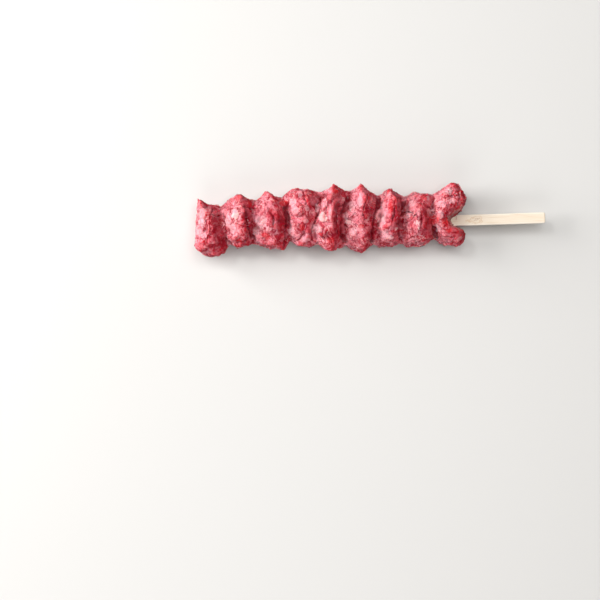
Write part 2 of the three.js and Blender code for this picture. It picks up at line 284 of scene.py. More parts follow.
# Bands of mince that the fingers have drawn out, the thinnest and palest partly painted highlights: pixels
# along them, thickness in mm and tone.
BANDS = (
    (((347, 202), (342, 198), (336, 199), (332, 206), (331, 216), (332, 226), (334, 234)), 3.4, 0.82),
    (((333, 191), (328, 196), (325, 203), (326, 212)), 2.0, 0.5),
    (((320, 206), (322, 214), (320, 224), (316, 232)), 1.6, 0.8),
    (((391, 199), (392, 208), (391, 218), (388, 230)), 2.2, 0.5),
    (((364, 190), (361, 200), (357, 208), (353, 216)), 2.4, 0.55),
    (((268, 199), (271, 209), (273, 219), (270, 228), (275, 236)), 2.0, 0.5),
    (((283, 246), (277, 240), (271, 233)), 1.2, 0.85),
    (((236, 220), (240, 226), (243, 234), (245, 243)), 1.2, 0.8),
    (((232, 204), (229, 212), (227, 222), (228, 234)), 1.8, 0.7),
    (((211, 207), (212, 216), (209, 226), (209, 236), (204, 244)), 2.4, 0.6),
    (((199, 205), (203, 210), (210, 213), (218, 214)), 1.2, 0.8),
    (((301, 190), (303, 199), (301, 208), (302, 216)), 2.2, 0.55),
    (((310, 205), (316, 210), (317, 218), (311, 221)), 1.4, 0.75),
    (((424, 196), (426, 206), (425, 216), (421, 228)), 2.2, 0.5),
    (((404, 214), (410, 217), (417, 214), (418, 208)), 1.0, 0.8),
    (((438, 203), (444, 200), (452, 203), (456, 210)), 1.6, 0.6),
    (((436, 232), (440, 238), (448, 243), (458, 241), (464, 235)), 1.6, 0.85),
    (((287, 245), (292, 237), (290, 226), (291, 216)), 1.6, 0.6),
    (((202, 207), (199.5, 203), (198, 200.5), (197.5, 198)), 1.8, 0.8),
    (((257, 208), (260, 211), (264, 211), (267, 208)), 0.9, 0.95),
    (((236, 224), (238, 229), (241, 233)), 0.9, 0.95),
    (((271, 232), (274, 236), (276, 240)), 1.0, 0.9),
    (((316, 204), (319, 207), (319, 211), (317, 215)), 1.3, 0.85),
    (((300, 220), (302, 222), (305, 223)), 0.9, 0.95),
    (((327, 232), (330, 230), (332, 231)), 1.0, 0.95),
    (((330, 203), (329.5, 210), (330, 217), (331, 224)), 1.0, 0.95),
)
RIM_TAPER = 0.3
RIM_STEP = 2.5
RIM_COLUMNS = (203.0, 460)
# Pale rims along the outline seen from above, on the far side and the near side, their paleness a painted
# rim
# highlight: the row of pixels that the search for the edge starts in, its step towards the mince, how many
# steps, and the most places in one unbroken rim.
RIMS = ((160, 0.5, 120, 9), (270, -0.5, 80, 4))
# Where two ridges meet, the skin turns in along a narrow line. Where two wads meet, the fold is smaller.
# Pixels along the lines, after their depth and half their width in mm.
FOLDS = {
    "furrow": (2.4, 2.2, (
        ((246, 206), (247, 214), (248, 222), (250, 231), (254, 240)),
        ((287, 203), (285, 210), (287, 216), (287, 224), (286, 234), (285, 246)),
        ((349, 196), (346, 204), (343, 212), (342, 222), (342, 234), (345, 243)),
        ((379, 198), (378, 205), (376, 214), (374, 224), (373, 234), (372, 244)),
        ((404, 200), (402, 210), (401, 218), (400, 228), (400, 240)),
        ((433, 228), (435, 234), (436, 240), (437, 246)),
    )),
    "fold": (1.1, 1.0, (
        ((223, 213), (224, 220), (225, 228), (226, 237), (228, 246)),
        ((321, 198), (320, 206), (319, 212), (315, 220), (312, 229), (312, 241)),
        ((213, 209), (210, 216), (210, 225), (210, 233), (206, 240)),
        ((211, 213), (216, 216), (220, 215), (224, 211)), ((243, 206), (250, 208), (257, 208)),
        ((236, 243), (241, 242), (247, 241)), ((268, 211), (272, 214), (274, 220), (273, 226)),
        ((290, 214), (294, 217), (300, 217), (303, 214)), ((303, 190), (304, 197), (306, 203), (303, 206)),
        ((303, 226), (304, 233), (301, 238), (297, 241)), ((328, 236), (331, 240), (333, 246)),
        ((348, 208), (343, 205), (339, 206), (337, 214), (337, 225), (339, 234)),
        ((327, 196), (325, 203), (326, 211), (325, 221)),
        ((345, 225), (348, 228), (352, 227)), ((365, 208), (370, 208), (375, 209), (378, 211)),
        ((368, 194), (367, 201), (364, 206), (363, 213), (365, 220)),
        ((394, 201), (395, 207), (394, 214), (393, 220)), ((402, 221), (405, 223), (411, 220), (417, 214)),
        ((403, 212), (408, 211), (413, 213)), ((424, 203), (427, 206), (431, 209)),
        ((421, 209), (422, 218), (421, 228)), ((441, 196), (446, 197), (451, 196), (456, 193)),
        ((458, 190), (460, 197), (458, 205)), ((441, 238), (447, 237), (455, 238)),
        ((443, 213), (446, 219), (447, 224), (444, 228)),
    )),
}
# Smears and stains that stand out: pixel, and half their size in mm along the stick and round it.
PATCHES = {
    # Pale smears, partly fat and partly painted sheen on the flanks that face the tip and the key light.
    "fat_smear": (
        (202, 213, 4, 5), (201, 222, 4, 4), (198, 231, 3.5, 5), (204, 235, 2.5, 3), (196, 241, 2, 2),
        (234, 212, 3, 3), (228, 222, 2.5, 4), (233, 228, 3, 4), (229, 244, 2, 3), (261, 222, 5, 6),
        (256, 232, 3, 4), (268, 229, 3.5, 1.8), (293, 203, 3, 4), (295, 211, 3, 3), (291, 232, 3, 5),
        (300, 194, 2, 3.5), (307, 209, 2, 2), (307, 221, 3, 2), (317, 208, 1.5, 4), (305, 240, 6, 2),
        (324, 203, 2.5, 5), (318, 229, 3.5, 4), (330, 213, 1.2, 7), (344, 199, 2.5, 2), (352, 207, 3, 5),
        (346, 215, 2, 4), (380, 217, 3, 7), (353, 232, 3, 4), (360, 201, 2, 6), (360, 229, 2.5, 2.5),
        (382, 214, 3.5, 7), (385, 233, 2.5, 4), (390, 238, 4, 2), (389, 193, 2.5, 3), (406, 210, 3.5, 3),
        (408, 216, 4, 2.5), (412, 204, 3, 4), (428, 198, 2, 2.5), (429, 212, 2, 3), (447, 191, 5, 3),
        (440, 204, 5, 3), (440, 215, 3, 3), (431, 213, 2.5, 4), (314, 228, 3, 4), (382, 221, 3, 6),
        (437, 228, 3, 4), (436, 236, 2.5, 3), (460, 239, 3, 2.5), (452, 201, 3, 2),
    ),
    # Deep red patches, partly lean and partly painted shade on the flanks that face away from the tip and
    # its light.
    "lean_patch": (
        (217, 225, 4.5, 10), (214, 209, 3, 3), (222, 240, 2.5, 7), (247, 221, 3.2, 11), (240, 241, 3, 2),
        (272, 220, 3, 8), (281, 226, 3.4, 9), (285, 208, 2, 3), (304, 196, 3, 5), (303, 229, 3, 6),
        (300, 215, 5, 2), (338, 223, 4.5, 12), (328, 236, 5, 3), (339, 192, 5, 2.5), (368, 222, 5, 14),
        (373, 228, 4, 12), (343, 230, 2.5, 7), (369, 197, 1.5, 5), (397, 214, 3.6, 12), (381, 242, 4, 2),
        (377, 201, 2, 3), (425, 224, 4.5, 12), (405, 238, 3, 5), (447, 211, 3, 4), (447, 238, 6, 2),
        (452, 208, 4, 4), (450, 232, 5, 4), (251, 200, 4, 3),
    ),
    "film": (
        (244, 212, 2.5, 4), (339, 211, 4, 2.5), (372, 201, 2.5, 4), (394, 230, 3.5, 6),
        (427, 222, 3, 8), (310, 213, 4, 4), (278, 226, 2, 5), (215, 241, 2.5, 2),
    ),
    "smeared": (
        (328, 204, 6, 8), (330, 216, 7, 10), (337, 199, 6, 5), (320, 229, 6, 6), (337, 226, 5, 10),
        (203, 222, 5, 10), (217, 222, 4, 8), (280, 226, 5, 11), (311, 213, 7, 7), (394, 230, 5, 8),
        (250, 204, 5, 4), (285, 203, 5, 4), (246, 223, 3.5, 10), (427, 224, 3.5, 9), (381, 216, 4, 8),
        (361, 198, 3, 8),
    ),
    "juice": (
        (266, 236, 3.5, 3), (250, 204, 4, 2.5), (283, 203, 4, 3), (391, 208, 2.2, 6), (424, 197, 3, 2.5),
        (435, 219.5, 4.5, 4), (445, 222, 3, 4), (449, 230, 2.5, 2), (239, 241, 2.5, 2), (302, 227, 2, 3),
        (335, 190, 3, 3), (388, 192, 2, 2), (237, 197, 3, 3), (361, 226, 2.5, 2), (331, 240, 3, 2.5),
    ),
}

mince = bpy.data.objects.new("kofta_mince", frame["nodes"]["meat"].data.copy())
bpy.context.collection.objects.link(mince)
mince.data.materials.clear()
only(mince)
bpy.ops.object.mode_set(mode="EDIT")
bpy.ops.mesh.select_mode(type="VERT")
bpy.ops.mesh.select_all(action="SELECT")
bpy.ops.mesh.remove_doubles(threshold=NO_LENGTH)
bpy.ops.mesh.select_mode(type="FACE")
bpy.ops.mesh.select_all(action="DESELECT")
bpy.ops.object.mode_set(mode="OBJECT")


def in_slot(point):
    """Whether a point of the meat is on the walls of the slot that the stick goes through."""
    across = point - stick_middle
    return abs(across.y) < SLOT_HALF_WIDTH and abs(across.z) < SLOT_HALF_HEIGHT


# The slot's walls are taken out and its mouth is closed, so that the mince lies tight on the wood.
for face in mince.data.polygons:
    face.select = all(in_slot(mince.data.vertices[i].co) for i in face.vertices)
bpy.ops.object.mode_set(mode="EDIT")
bpy.ops.mesh.delete(type="FACE")
bpy.ops.mesh.select_mode(type="VERT")
bpy.ops.mesh.select_all(action="DESELECT")
bpy.ops.mesh.select_non_manifold()
bpy.ops.mesh.edge_face_add()
bpy.ops.object.mode_set(mode="OBJECT")
rounded = mince.modifiers.new("round_facets", "SUBSURF")
rounded.levels = rounded.render_levels = 1
apply_modifiers(mince)

# Wads of mince, a finger's breadth and smaller, with creases where two of them meet.
tree, shape = new_shape_tree("mince_wads")
place = add(tree, "GeometryNodeInputPosition", {}, {}).outputs[0]
normal = add(tree, "GeometryNodeInputNormal", {}, {}).outputs[0]
humps = add(tree, "ShaderNodeTexNoise", {}, {"Vector": place, "Scale": 1 / WAD, "Detail": 1.0})
level = add(tree, "ShaderNodeMapRange", {}, {
    "Value": humps.outputs[0], "From Min": 0.3, "From Max": 0.7,
    "To Min": -WAD_RELIEF, "To Max": WAD_RELIEF,
})
meeting = add(tree, "ShaderNodeTexNoise", {}, {"Vector": place, "Scale": 1 / (1.6 * WAD), "Detail": 0.0})
from_line = add(tree, "ShaderNodeMath", {"operation": "SUBTRACT"}, {0: meeting.outputs[0], 1: 0.5})
apart = add(tree, "ShaderNodeMath", {"operation": "ABSOLUTE"}, {0: from_line.outputs[0]})
crease = add(tree, "ShaderNodeMapRange", {"interpolation_type": "SMOOTHSTEP"}, {
    "Value": apart.outputs[0], "From Min": 0.0, "From Max": 0.035, "To Min": -CREASE_DEPTH, "To Max": 0.0,
})
both = add(tree, "ShaderNodeMath", {"operation": "ADD"}, {0: level.outputs[0], 1: crease.outputs[0]})
offset = add(tree, "ShaderNodeVectorMath", {"operation": "SCALE"}, {0: normal, "Scale": both.outputs[0]})
wadded = add(tree, "GeometryNodeSetPosition", {}, {"Geometry": shape, "Offset": offset.outputs[0]})
shape_with(mince, tree, wadded.outputs[0])


def height_above_mean(tree, place, normal, spreading):
    """How far a place stands out from the mean of what is round it, in mm."""
    mean = add(tree, "GeometryNodeBlurAttribute", {"data_type": "FLOAT_VECTOR"}, {
        "Value": place, "Iterations": spreading, "Weight": 1.0,
    })
    raised = add(tree, "ShaderNodeVectorMath", {"operation": "SUBTRACT"}, {0: place, 1: mean.outputs[0]})
    height = add(tree, "ShaderNodeVectorMath", {"operation": "DOT_PRODUCT"}, {
        0: raised.outputs[0], 1: normal,
    }).outputs["Value"]
    return add(tree, "ShaderNodeMath", {"operation": "MULTIPLY"}, {0: height, 1: 1 / MM}).outputs[0]


# Grains of mince: short soft worms and crumbs, 2 to 6 mm long, sunk into the skin. Most lie round the
# stick, as the squeezed mince is drawn. In the furrows the fingers have smeared them smooth.
tree, shape = new_shape_tree("mince_grains")
place = add(tree, "GeometryNodeInputPosition", {}, {}).outputs[0]
normal = add(tree, "GeometryNodeInputNormal", {}, {}).outputs[0]
grainy = add(tree, "ShaderNodeMapRange", {}, {
    "Value": height_above_mean(tree, place, normal, 60), "From Min": -1.0, "From Max": 0.3, "To Min": 0.05,
})
paste = add(tree, "GeometryNodeStoreNamedAttribute", {"data_type": "FLOAT", "domain": "POINT"}, {
    "Geometry": shape, "Name": "tone", "Value": PASTE_TONE,
})
spread = add(tree, "GeometryNodeDistributePointsOnFaces", {"distribute_method": "POISSON"}, {
    "Mesh": shape, "Distance Min": GRAIN_SPACING, "Density Max": GRAINS_PER_SQUARE_METRE, "Seed": 3,
    "Density Factor": grainy.outputs[0],
})
outward = spread.outputs["Normal"]
across = add(tree, "ShaderNodeVectorMath", {"operation": "CROSS_PRODUCT"}, {0: outward, 1: (1, 0, 0)})
upright = add(tree, "FunctionNodeAlignRotationToVector", {"axis": "Z"}, {"Vector": outward})
lying = add(tree, "FunctionNodeAlignRotationToVector", {"axis": "X", "pivot_axis": "Z"}, {
    "Rotation": upright.outputs[0], "Vector": across.outputs[0],
})
turn = add(tree, "FunctionNodeRandomValue", {"data_type": "FLOAT_VECTOR"}, {
    0: (-0.3, -0.3, -1.1), 1: (0.3, 0.3, 1.1), "Seed": 5,
})
turn_by = add(tree, "FunctionNodeEulerToRotation", {}, {0: turn.outputs[0]})
turned = add(tree, "FunctionNodeRotateRotation", {"rotation_space": "LOCAL"}, {
    0: lying.outputs[0], 1: turn_by.outputs[0],
})
size = add(tree, "FunctionNodeRandomValue", {"data_type": "FLOAT_VECTOR"}, {
    0: LEAST_GRAIN, 1: GREATEST_GRAIN, "Seed": 8,
})
crumb = add(tree, "GeometryNodeMeshIcoSphere", {}, {"Radius": 1.0, "Subdivisions": 2})
grains = add(tree, "GeometryNodeInstanceOnPoints", {}, {
    "Points": spread.outputs["Points"], "Instance": crumb.outputs["Mesh"],
    "Rotation": turned.outputs[0], "Scale": size.outputs[0],
})
sunk = add(tree, "GeometryNodeTranslateInstances", {}, {
    "Instances": grains.outputs[0], "Translation": (0, 0, -GRAIN_SUNK), "Local Space": True,
})
shade = add(tree, "FunctionNodeRandomValue", {"data_type": "FLOAT"}, {2: 0.0, 3: 1.0, "Seed": 13})
toned = add(tree, "GeometryNodeStoreNamedAttribute", {"data_type": "FLOAT", "domain": "INSTANCE"}, {
    "Geometry": sunk.outputs[0], "Name": "tone", "Value": shade.outputs[1],
})
real = add(tree, "GeometryNodeRealizeInstances", {}, {"Geometry": toned.outputs[0]})
joined = add(tree, "GeometryNodeJoinGeometry", {}, {})
tree.links.new(paste.outputs[0], joined.inputs[0])
tree.links.new(real.outputs[0], joined.inputs[0])
# Kneading leaves nothing straight: all of it is warped a little.
place = add(tree, "GeometryNodeInputPosition", {}, {}).outputs[0]
warp = add(tree, "ShaderNodeTexNoise", {}, {"Vector": place, "Scale": 1 / (3.2 * MM), "Detail": 1.0})
swing = add(tree, "ShaderNodeVectorMath", {"operation": "SUBTRACT"}, {
    0: warp.outputs[1], 1: (0.5, 0.5, 0.5),
})
swung = add(tree, "ShaderNodeVectorMath", {"operation": "SCALE"}, {0: swing.outputs[0], "Scale": KNEADED})
crooked = add(tree, "GeometryNodeSetPosition", {}, {
    "Geometry": joined.outputs[0], "Offset": swung.outputs[0],
})
shape_with(mince, tree, crooked.outputs[0])

# The loose grains stay as a pattern for the tones, while a skin is drawn over all of them.
loose = bpy.data.objects.new("loose_grains", mince.data.copy())
bpy.context.collection.objects.link(loose)


def draw_skin(softening):
    """Fuses all that is in the mince under one skin, and softens it by that many steps."""
    remesh = mince.modifiers.new("skin", "REMESH")
    remesh.mode = "VOXEL"
    remesh.voxel_size = SKIN_MESH
    mince.modifiers.new("kneaded", "SMOOTH").iterations = softening
    apply_modifiers(mince)


draw_skin(softening=4)


def seen_at(pixel):
    """The point at the stick's height that the pixel shows."""
    from_end = (Vector(pixel) - STICK_END_PIXEL) * SCALE
    from_end.y = -from_end.y
    from_end = Matrix.Rotation(-LEAN, 2) @ from_end
    return Vector((stick_high.x + from_end.x, stick_middle.y + from_end.y, stick_middle.z))


camera_place = seen_at((FRAME / 2, FRAME / 2)) + Vector((0, 0, CAMERA_HEIGHT))
bpy.context.view_layer.update()


def on_mince(pixel):
    """The place on the mince that the pixel shows, and which way the mince faces there."""
    ray = (seen_at(pixel) - camera_place).normalized()
    hit, point, facing, _ = mince.ray_cast(camera_place, ray)
    return (point, facing) if hit else (seen_at(pixel), Vector((0, 0, 1)))


pressed_in = []


def press_in(piece, tone, fat):
    """Lists a lump or strand that the skin is drawn over, with its tone and how clear a fat it is."""
    for name, value in (("tone", tone), ("fat", fat)):
        kind = piece.data.attributes.new(name, "FLOAT", "POINT")
        kind.data.foreach_set("value", [value] * len(piece.data.vertices))
    pressed_in.append(piece)


# The lumps of fat are soft and dented, and lie with their broad side along the skin.
lumpy = bpy.data.textures.new("lumpy_fat", "CLOUDS")
lumpy.noise_scale = FAT_DENT_SPACING
for across_px, down_px, length, width, turned, clear in FAT_LUMPS:
    point, facing = on_mince((across_px, down_px))
    side = facing.cross(Vector((1, 0, 0))).normalized()
    lie = Matrix((side.cross(facing), side, facing)).transposed().to_quaternion()
    lie = lie @ Euler((0, 0, math.radians(turned))).to_quaternion()
    bpy.ops.object.select_all(action="DESELECT")
    bpy.ops.mesh.primitive_ico_sphere_add(
        subdivisions=3, radius=MM / 2, location=point - facing * FAT_SUNK, rotation=lie.to_euler(),
        scale=(length, width, 0.5 * width),
    )
    bpy.ops.object.transform_apply(location=True, rotation=True, scale=True)
    lump = bpy.context.object
    dented = lump.modifiers.new("dented", "DISPLACE")
    dented.texture = lumpy
    dented.texture_coords = "GLOBAL"
    dented.strength = FAT_DENT
    apply_modifiers(lump)
    press_in(lump, FAT_TONE, clear)


def drawn_out(places, thickness, taper):
    """A closed strand of that thickness through the places, thinner at its ends."""
    line = bpy.data.curves.new("strand", "CURVE")
    line.dimensions = "3D"
    line.bevel_depth = thickness / 2 * MM
    line.bevel_resolution = 2
    line.resolution_u = 4
    line.use_fill_caps = True
    spline = line.splines.new("NURBS")
    spline.points.add(len(places) - 1)
    spline.use_endpoint_u = True
    spline.order_u = 4
    for i, place in enumerate(places):
        spline.points[i].co = (*place, 1.0)
        spline.points[i].radius = taper if i in (0, len(places) - 1) else 1.0
    strand = bpy.data.objects.new("strand", line)
    bpy.context.collection.objects.link(strand)
    only(strand)
    bpy.ops.object.convert(target="MESH")
    return bpy.context.object


def outline(column, rows):
    """Where the mince begins in a column of pixels, searched from outside."""
    for row in rows:
        ray = (seen_at((column, row)) - camera_place).normalized()
        hit, point, _, _ = mince.ray_cast(camera_place, ray)
        if hit:
            return point


# The bands lie a tenth of their thickness deeper than half sunk. The palest are part fat, part painted
# highlight.
for pixels, thickness, tone in BANDS:
    sunk = 0.1 * thickness * MM
    places = [point - facing * sunk for point, facing in map(on_mince, pixels)]
    press_in(drawn_out(places, thickness, BAND_TAPER), tone, 0.4 if tone > 0.85 else 0.0)
# Along the outline seen from above, thin strands are painted pale as a rim highlight, broken here and
# there.
draw = random.Random(4)
for first_row, step, steps, unbroken in RIMS:
    rows = [first_row + step * i for i in range(steps)]
    column, last_column = RIM_COLUMNS
    while column < last_column:
        columns = [column + RIM_STEP * i for i in range(draw.randint(3, unbroken))]
        places = [place for place in (outline(at, rows) for at in columns) if place]
        if len(places) > 2:
            press_in(drawn_out(places, draw.uniform(0.8, 1.3), RIM_TAPER), 1.0, 0.6)
        column = columns[-1] + draw.uniform(1.5, 24 / unbroken)
only(*pressed_in)
bpy.ops.object.join()
pattern = bpy.data.objects.new("bands_and_fat", bpy.context.object.data.copy())
bpy.context.collection.objects.link(pattern)
only(mince, pressed_in[0])
bpy.ops.object.join()
only(loose, pattern)
bpy.ops.object.join()
draw_skin(softening=2)
bpy.context.view_layer.update()


def lines_on_skin(name, lines):
    """The lines of pixels as steps of a millimetre or so that follow the skin."""
    places, steps = [], []
    for pixels in lines:
        for a, b in zip(pixels, pixels[1:]):
            start, end = Vector(a), Vector(b)
            count = math.ceil((end - start).length / 1.5)
            for i in range(count + 1):
                places.append(on_mince(start.lerp(end, i / count))[0])
                if i:
                    steps.append((len(places) - 2, len(places) - 1))
    mesh = bpy.data.meshes.new(name)
    mesh.from_pydata(places, steps, [])
    obj = bpy.data.objects.new(name, mesh)
    bpy.context.collection.objects.link(obj)
    return obj


def around_stick(tree, place, along, away):
    """Pattern coordinates that follow the mince round the stick, with their step along it and away."""
    centred = add(tree, "ShaderNodeVectorMath", {"operation": "SUBTRACT"}, {0: place, 1: stick_middle})
    flat = add(tree, "ShaderNodeVectorMath", {"operation": "MULTIPLY"}, {
        0: centred.outputs[0], 1: (0, 1, 1),
    })
    ray = add(tree, "ShaderNodeVectorMath", {"operation": "NORMALIZE"}, {0: flat.outputs[0]})
    reach = add(tree, "ShaderNodeVectorMath", {"operation": "SCALE"}, {
        0: flat.outputs[0], "Scale": 1 / away,
    })
    ring = add(tree, "ShaderNodeVectorMath", {"operation": "SCALE"}, {
        0: ray.outputs[0], "Scale": STEPS_PER_RADIAN,
    })
    line = add(tree, "ShaderNodeVectorMath", {"operation": "MULTIPLY_ADD"}, {
        0: centred.outputs[0], 1: (1 / along, 0, 0), 2: ring.outputs[0],
    })
    return add(tree, "ShaderNodeVectorMath", {"operation": "ADD"}, {
        0: line.outputs[0], 1: reach.outputs[0],
    }).outputs[0]


def drawn_strands(tree, place, thickness, detail):
    """The strands, so thick, that the mince is drawn into round the stick. They swirl as it was kneaded."""
    wind = add(tree, "ShaderNodeTexNoise", {}, {"Vector": place, "Scale": 1 / STRAND_SWIRL, "Detail": 1.0})
    curl = add(tree, "ShaderNodeVectorMath", {"operation": "SCALE"}, {
        0: wind.outputs[1], "Scale": STRAND_SWIRL,
    })
    curled = add(tree, "ShaderNodeVectorMath", {"operation": "ADD"}, {0: place, 1: curl.outputs[0]})
    return add(tree, "ShaderNodeTexNoise", {}, {
        "Vector": around_stick(tree, curled.outputs[0], thickness, 4 * MM), "Scale": 1.0, "Detail": detail,
    }).outputs[0]


tree, shape = new_shape_tree("mince_skin")
place = add(tree, "GeometryNodeInputPosition", {}, {}).outputs[0]
normal = add(tree, "GeometryNodeInputNormal", {}, {}).outputs[0]
grains = add(tree, "GeometryNodeObjectInfo", {}, {"Object": loose})
# What the material reads is measured all over the skin and kept by name.
measured = []
for name in ("tone", "fat"):
    value = add(tree, "GeometryNodeInputNamedAttribute", {"data_type": "FLOAT"}, {"Name": name})
    nearest = add(tree, "GeometryNodeSampleNearestSurface", {"data_type": "FLOAT"}, {
        "Mesh": grains.outputs["Geometry"], "Value": value.outputs[0],
    })
    measured.append((name, nearest.outputs[0]))
for name, spreading in (("standing", 20), ("crown", 160)):
    measured.append((name, height_above_mean(tree, place, normal, spreading)))
# The hand closed towards the tip, so each ridge has a torn side that faces the tip, and a smooth far one.
# The same measure paints the side facing the tip paler as sheen and the far side a deeper red as shade.
evened = add(tree, "GeometryNodeBlurAttribute", {"data_type": "FLOAT_VECTOR"}, {
    "Value": normal, "Iterations": 60, "Weight": 1.0,
})
towards_tip = add(tree, "ShaderNodeVectorMath", {"operation": "DOT_PRODUCT"}, {
    0: evened.outputs[0], 1: (-1, 0, 0),
})
measured.append(("tipward", towards_tip.outputs["Value"]))
rough = add(tree, "ShaderNodeMapRange", {}, {
    "Value": drawn_strands(tree, place, 1.5 * MM, 2.0), "From Min": 0.3, "From Max": 0.7,
    "To Min": -STRAND_RELIEF, "To Max": STRAND_RELIEF,
})
# Wads of mince lie side by side, each with its own tone, and creases part some of them.
kink = add(tree, "ShaderNodeTexNoise", {}, {"Vector": place, "Scale": 1 / (5 * MM), "Detail": 1.0})
bend = add(tree, "ShaderNodeVectorMath", {"operation": "SCALE"}, {0: kink.outputs[1], "Scale": 5 * MM})
bent = add(tree, "ShaderNodeVectorMath", {"operation": "ADD"}, {0: place, 1: bend.outputs[0]})
wads_at = around_stick(tree, bent.outputs[0], WAD, WAD)
wads = add(tree, "ShaderNodeTexVoronoi", {"feature": "F1"}, {"Vector": wads_at, "Scale": 1.0})
edges = add(tree, "ShaderNodeTexVoronoi", {"feature": "DISTANCE_TO_EDGE"}, {
    "Vector": wads_at, "Scale": 1.0,
})
parting = add(tree, "ShaderNodeTexNoise", {}, {"Vector": place, "Scale": 1 / (7 * MM), "Detail": 0.0})
how_deep = add(tree, "ShaderNodeMapRange", {}, {
    "Value": parting.outputs[0], "From Min": 0.45, "From Max": 0.6, "To Min": 0.1, "To Max": 1.0,
})
near_edge = add(tree, "ShaderNodeMapRange", {"interpolation_type": "SMOOTHSTEP"}, {
    "Value": edges.outputs["Distance"], "From Min": 0.0, "From Max": 0.22, "To Min": 1.0, "To Max": 0.0,
})
creased = add(tree, "ShaderNodeMath", {"operation": "MULTIPLY"}, {
    0: near_edge.outputs[0], 1: how_deep.outputs[0],
})
measured += [("wad", wads.outputs["Color"]), ("crease", creased.outputs[0])]
# The folds and furrows stray a millimetre to either side of their lines.
wander = add(tree, "ShaderNodeTexNoise", {}, {"Vector": place, "Scale": 1 / (3 * MM), "Detail": 1.0})
stray = add(tree, "ShaderNodeVectorMath", {"operation": "SUBTRACT"}, {
    0: wander.outputs[1], 1: (0.5, 0.5, 0.5),
})
strayed = add(tree, "ShaderNodeVectorMath", {"operation": "MULTIPLY_ADD"}, {
    0: stray.outputs[0], 1: (2 * MM, 2 * MM, 2 * MM), 2: place,
})
relief = add(tree, "ShaderNodeMath", {"operation": "MULTIPLY_ADD"}, {
    0: creased.outputs[0], 1: -CREASE_DEPTH, 2: rough.outputs[0],
}).outputs[0]
for name, (depth, half_width, lines) in FOLDS.items():
    line = add(tree, "GeometryNodeObjectInfo", {}, {"Object": lines_on_skin(name, lines)})
    to_line = add(tree, "GeometryNodeProximity", {"target_element": "EDGES"}, {
        0: line.outputs["Geometry"], "Sample Position": strayed.outputs[0],
    })
    nearness = add(tree, "ShaderNodeMapRange", {"interpolation_type": "SMOOTHSTEP"}, {
        "Value": to_line.outputs["Distance"], "From Min": 0.0, "From Max": half_width * MM,
        "To Min": 1.0, "To Max": 0.0,
    }).outputs[0]
    relief = add(tree, "ShaderNodeMath", {"operation": "MULTIPLY_ADD"}, {
        0: nearness, 1: -depth * MM, 2: relief,
    }).outputs[0]
    measured.append((name, nearness))
for name, value in measured:
    shape = add(tree, "GeometryNodeStoreNamedAttribute", {"data_type": "FLOAT", "domain": "POINT"}, {
        "Geometry": shape, "Name": name, "Value": value,
    }).outputs[0]
offset = add(tree, "ShaderNodeVectorMath", {"operation": "SCALE"}, {0: normal, "Scale": relief})
textured = add(tree, "GeometryNodeSetPosition", {}, {"Geometry": shape, "Offset": offset.outputs[0]})
# What the skewer lies on presses the mince flat.
floor_limit = add(tree, "ShaderNodeVectorMath", {"operation": "MAXIMUM"}, {0: place, 1: (-1, -1, 0)})
pressed = add(tree, "GeometryNodeSetPosition", {}, {
    "Geometry": textured.outputs[0], "Position": floor_limit.outputs[0],
})
shape_with(mince, tree, pressed.outputs[0])
bpy.data.objects.remove(loose)
for name in FOLDS:
    bpy.data.objects.remove(bpy.data.objects[name])
thinned = mince.modifiers.new("thinned", "DECIMATE")
thinned.ratio = min(1.0, MOST_TRIANGLES / sum(len(face.vertices) - 2 for face in mince.data.polygons))
apply_modifiers(mince)
only(mince)
# Specks that were closed off inside the skin go: only what hangs together with its highest point stays.
for parts in (mince.data.vertices, mince.data.edges, mince.data.polygons):
    parts.foreach_set("select", [False] * len(parts))
max(mince.data.vertices, key=lambda vertex: vertex.co.z).select = True
bpy.ops.object.mode_set(mode="EDIT")
bpy.ops.mesh.select_mode(type="VERT")
bpy.ops.mesh.select_linked()
bpy.ops.mesh.select_all(action="INVERT")
bpy.ops.mesh.delete(type="VERT")
bpy.ops.object.mode_set(mode="OBJECT")
bpy.ops.object.shade_smooth()
bpy.context.view_layer.update()

# How much of each patch a point has: 1.5 at its middle, 0.5 at its edge, and 0 half as far out again.
near = KDTree(len(mince.data.vertices))
for i, vertex in enumerate(mince.data.vertices):
    near.insert(vertex.co, i)
near.balance()
for name, patches in PATCHES.items():
    strength = [0.0] * len(mince.data.vertices)
    for across_px, down_px, half_width, half_length in patches:
        middle, _ = on_mince((across_px, down_px))
        for point, i, _ in near.find_range(middle, 1.5 * max(half_width, half_length) * MM):
            off = (point - middle) / MM
            reach = math.hypot(off.x / half_width, off.y / half_length, off.z / half_length)
            strength[i] = max(strength[i], 1.5 - reach)
    mince.data.attributes.new(name, "FLOAT", "POINT").data.foreach_set("value", strength)

# Raw mince: lean red grains and pale fat in a rose paste, smeared and wet all over, with light sinking in.
# Thin pale lines of sinew run through it, and here and there a redder spot of juice.
raw = bpy.data.materials.new("raw_mince")
raw.use_nodes = True
tree = raw.node_tree
tree.nodes.clear()
place = add(tree, "ShaderNodeTexCoord", {}, {}).outputs["Object"]
tone, in_fat, standing, crown, tipward, wad, crease, furrow, fold = (
    add(tree, "ShaderNodeAttribute", {"attribute_name": name}, {}).outputs["Fac"]
    for name in ("tone", "fat", "standing", "crown", "tipward", "wad", "crease", "furrow", "fold")
)
